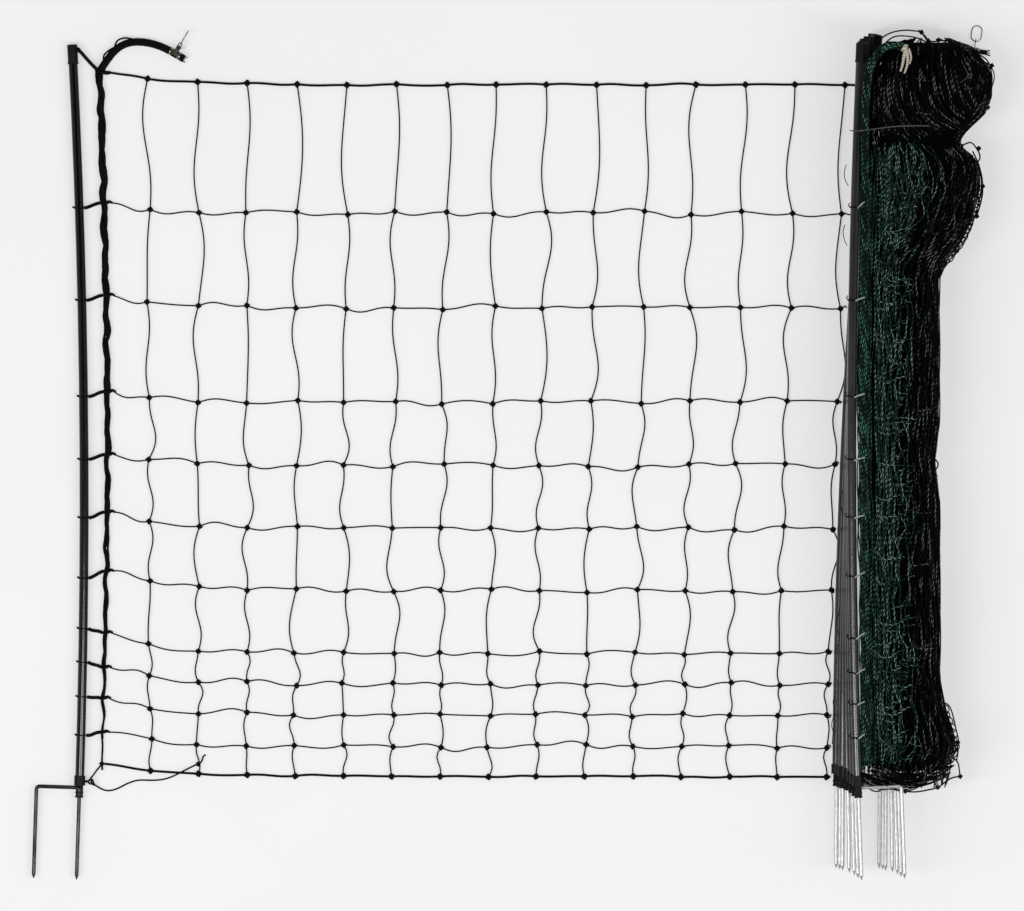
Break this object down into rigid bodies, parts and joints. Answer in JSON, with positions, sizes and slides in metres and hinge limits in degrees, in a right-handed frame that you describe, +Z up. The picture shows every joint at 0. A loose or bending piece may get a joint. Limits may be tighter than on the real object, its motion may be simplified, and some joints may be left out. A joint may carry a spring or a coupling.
{
  "type": "portable electric netting",
  "caption": "Roll of portable electric poultry netting with step-in posts stacked at its side, its end post and first bay opened out flat",
  "frame": {"origin": "middle of the footprint, on the ground it lies on", "axes": "+X along the fence from the end post to the roll, +Y up the posts, +Z up from the ground"},
  "size_m": [1.4727, 1.3116, 0.13],
  "materials": {
    "post_plastic": "glossy black tube",
    "block_plastic": "moulded, slight sheen",
    "dark_steel": "dark drawn wire",
    "galvanised_steel": "bright zinc",
    "nickel_steel": "nickel plate",
    "cream_cord": "soft cord",
    "folded_net": "loose folds of twine netting",
    "tie_sleeve": "twisted sleeve",
    "twine": "twisted poly twine with wire strands"
  },
  "bodies": {
    "roll": {"stacked_tube_1": "post_plastic", "stacked_tube_2": "post_plastic", "stacked_tube_3": "post_plastic", "stacked_tube_4": "post_plastic", "stacked_tube_5": "post_plastic", "stacked_tube_6": "post_plastic", "stacked_tube_7": "post_plastic", "stacked_spike_1": "galvanised_steel", "stacked_spike_2": "galvanised_steel", "stacked_spike_3": "galvanised_steel", "stacked_spike_4": "galvanised_steel", "stacked_spike_5": "galvanised_steel", "stacked_spike_6": "galvanised_steel", "stacked_spike_7": "galvanised_steel", "stacked_caps": "post_plastic", "stacked_foot_blocks": "block_plastic", "stacked_post_ties": "tie_sleeve", "run_in_lines": "twine", "run_in_stays": "twine", "roll_column": "folded_net", "roll_head": "folded_net", "roll_side": "folded_net", "roll_foot": "folded_net", "far_lead": "twine", "far_lead_end": "twine", "cream_tie": "cream_cord", "far_clip_plate": "nickel_steel"},
    "bay": {"net_line_01": "twine", "net_line_02": "twine", "net_line_03": "twine", "net_line_04": "twine", "net_line_05": "twine", "net_line_06": "twine", "net_line_07": "twine", "net_line_08": "twine", "net_line_09": "twine", "net_line_10": "twine", "net_line_11": "twine", "net_line_12": "twine", "net_stays": "twine", "line_stubs": "twine", "end_lead": "twine", "lead_tail": "twine", "near_clip_plate": "nickel_steel", "tie_cord": "twine", "tie_knot": "twine"},
    "end_post": {"end_post_tube": "post_plastic", "end_post_cap": "post_plastic", "end_foot_block": "block_plastic", "end_post_ties": "tie_sleeve", "top_strap": "tie_sleeve", "foot_string": "twine"},
    "end_spike": {"end_spike": "dark_steel"},
    "near_ring": {"near_clip_ring": "nickel_steel"},
    "near_gate": {"near_clip_gate": "nickel_steel"},
    "far_ring": {"far_clip_ring": "nickel_steel"},
    "far_gate": {"far_clip_gate": "nickel_steel"}
  },
  "joints": [
    {"name": "bay_fold", "type": "hinge", "parent": "roll", "child": "bay", "pos_m": [0.462, 0, 0.005], "axis": [0, 1, 0], "range_deg": [0, 110]},
    {"name": "post_fold", "type": "hinge", "parent": "bay", "child": "end_post", "pos_m": [-0.626, 0, 0.005], "axis": [0, 1, 0], "range_deg": [0, 140]},
    {"name": "spike_swivel", "type": "hinge", "parent": "end_post", "child": "end_spike", "pos_m": [-0.6622, -0.506, 0.0086], "axis": [0.0325, 0.9995, 0], "range_deg": [0, 90]},
    {"name": "near_clip_swing", "type": "hinge", "parent": "bay", "child": "near_ring", "pos_m": [-0.50767, 0.62991, 0.01196], "axis": [0, 0, 1], "range_deg": [-60, 60]},
    {"name": "near_gate_hinge", "type": "hinge", "parent": "near_ring", "child": "near_gate", "pos_m": [-0.50348, 0.63701, 0.01981], "axis": [-0.8617, 0.5074, 0], "range_deg": [0, 25], "stiffness_Nm_per_rad": 0.02, "springref_deg": -5.73},
    {"name": "far_clip_swing", "type": "hinge", "parent": "roll", "child": "far_ring", "pos_m": [0.71296, 0.63504, 0.0053], "axis": [0.9903, -0.1392, 0], "range_deg": [0, 120]},
    {"name": "far_gate_hinge", "type": "hinge", "parent": "far_ring", "child": "far_gate", "pos_m": [0.72186, 0.64199, 0.0038], "axis": [0.0254, 0.1805, 0.9833], "range_deg": [0, 25], "stiffness_Nm_per_rad": 0.02, "springref_deg": -5.73}
  ]
}
